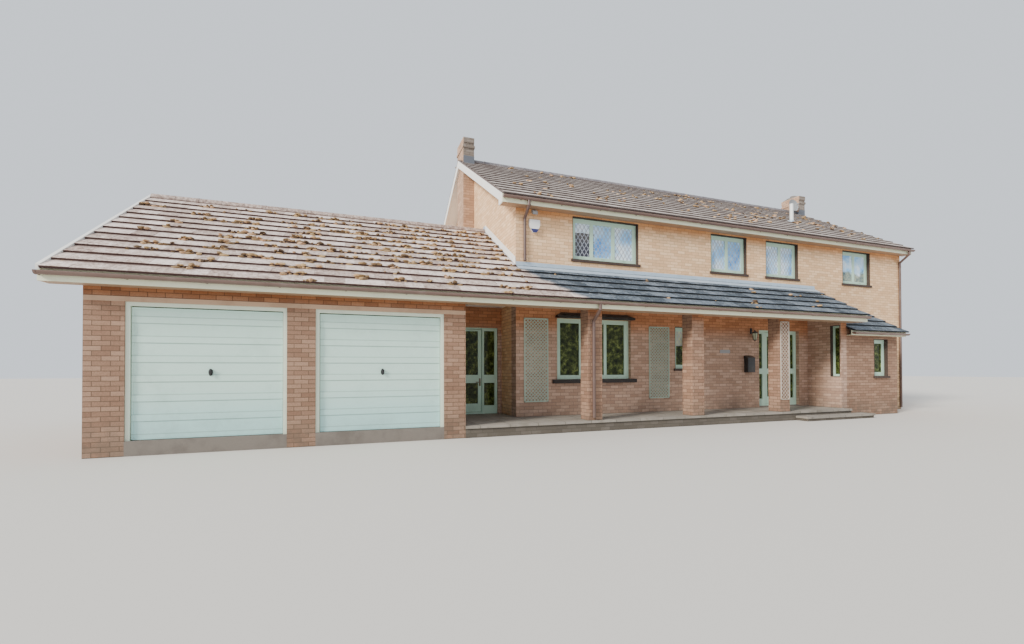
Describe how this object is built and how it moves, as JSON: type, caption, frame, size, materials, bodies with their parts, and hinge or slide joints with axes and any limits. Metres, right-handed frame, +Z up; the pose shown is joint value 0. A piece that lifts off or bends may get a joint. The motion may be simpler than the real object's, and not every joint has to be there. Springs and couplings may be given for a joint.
{
  "type": "detached house",
  "caption": "Detached brick house with tiled roofs, a garage with up-and-over doors, a recessed link, a porch on brick piers and a small side room.",
  "frame": {"origin": "bottom centre of the bounding box, at the foot of the walls", "axes": "+X along the front from the garage to the right gable, +Y from the front to the back, +Z up"},
  "size_m": [21.255, 9.65, 8.2759],
  "materials": {
    "brick": "buff brick with pale mortar",
    "brick_pale": "pale peach brick with pale mortar",
    "concrete": "weathered concrete",
    "warm_tiles": "weathered interlocking tiles with lichen",
    "dark_tiles": "slate grey tiles with moss",
    "cream_paint": "cream painted boards",
    "white_paint": "white painted boards",
    "mint_paint": "pale mint painted timber",
    "door_paint": "pale mint painted steel",
    "brown_plastic": "brown rainwater plastic",
    "brown_timber": "dark brown stained timber",
    "lead": "dull lead sheet",
    "glass": "clear glazing",
    "steel": "galvanised steel",
    "lattice_paint": "grey green painted laths",
    "fittings": "white and black fittings"
  },
  "bodies": {
    "house": {"ground_floor": "concrete", "upper_floor": "concrete", "garage_piers": "brick", "garage_lintels": "concrete", "garage_wall_head": "brick", "garage_left_wall": "brick", "garage_right_wall": "brick", "garage_rear_wall": "brick", "link_wall_jambs": "brick", "link_wall_head": "brick", "front_wall_left": "brick", "front_wall_right": "brick", "front_wall_upper": "brick_pale", "entrance_lintel": "brick", "left_gable_wall": "brick_pale", "right_gable_wall": "brick_pale", "rear_wall": "brick_pale", "side_room_left_wall": "brick", "side_room_front_wall": "brick", "side_room_right_wall": "brick", "side_room_roof": "dark_tiles", "porch_platform": "brick", "porch_paving": "concrete", "porch_piers": "brick", "porch_beam": "brown_timber", "porch_ceiling": "white_paint", "porch_roof": "dark_tiles", "main_roof_front": "warm_tiles", "main_roof_rear": "warm_tiles", "garage_roof_front": "warm_tiles", "garage_roof_rear": "warm_tiles", "ridge_tiles": "warm_tiles", "eaves_boards": "cream_paint", "barge_boards": "white_paint", "gutters": "brown_plastic", "downpipes": "brown_plastic", "flashings": "lead", "left_chimney": "brick_pale", "right_chimney": "brick_pale", "chimney_pots": "dark_tiles", "window_frames": "brown_timber", "window_casements": "mint_paint", "window_sills": "brown_timber", "window_glass": "glass", "lower_window": "mint_paint", "window_hood": "brown_timber", "entrance_frame": "mint_paint", "link_door_frame": "mint_paint", "garage_door_frames": "cream_paint", "garage_door_tracks": "steel", "trellis_panels": "lattice_paint", "wall_fittings": "fittings"},
    "left_lifting_bar": {"left_lifting_bar": "steel"},
    "left_garage_door": {"left_garage_door": "door_paint"},
    "right_lifting_bar": {"right_lifting_bar": "steel"},
    "right_garage_door": {"right_garage_door": "door_paint"},
    "link_door": {"link_door": "mint_paint", "link_door_glass": "glass"},
    "front_door": {"front_door": "mint_paint", "front_door_glass": "glass"}
  },
  "joints": [
    {"name": "left_bar_slide", "type": "slide", "parent": "house", "child": "left_lifting_bar", "axis": [0, 1, 0], "range_m": [0, 1.35]},
    {"name": "left_door_tilt", "type": "hinge", "parent": "left_lifting_bar", "child": "left_garage_door", "pos_m": [-8.6275, -4.331, 2.186], "axis": [-1, 0, 0], "range_deg": [0, 90]},
    {"name": "right_bar_slide", "type": "slide", "parent": "house", "child": "right_lifting_bar", "axis": [0, 1, 0], "range_m": [0, 1.35]},
    {"name": "right_door_tilt", "type": "hinge", "parent": "right_lifting_bar", "child": "right_garage_door", "pos_m": [-5.9875, -4.331, 2.186], "axis": [-1, 0, 0], "range_deg": [0, 90]},
    {"name": "link_door_hinge", "type": "hinge", "parent": "house", "child": "link_door", "pos_m": [-4.2195, -2.123, 1.2], "axis": [0, 0, 1], "range_deg": [0, 90]},
    {"name": "front_door_hinge", "type": "hinge", "parent": "house", "child": "front_door", "pos_m": [4.5675, -3.073, 1.3], "axis": [0, 0, 1], "range_deg": [0, 90]}
  ],
  "couplings": [
    {"joint": "left_bar_slide", "follows": "left_door_tilt", "m_per_rad": 0.8594},
    {"joint": "right_bar_slide", "follows": "right_door_tilt", "m_per_rad": 0.8594}
  ]
}
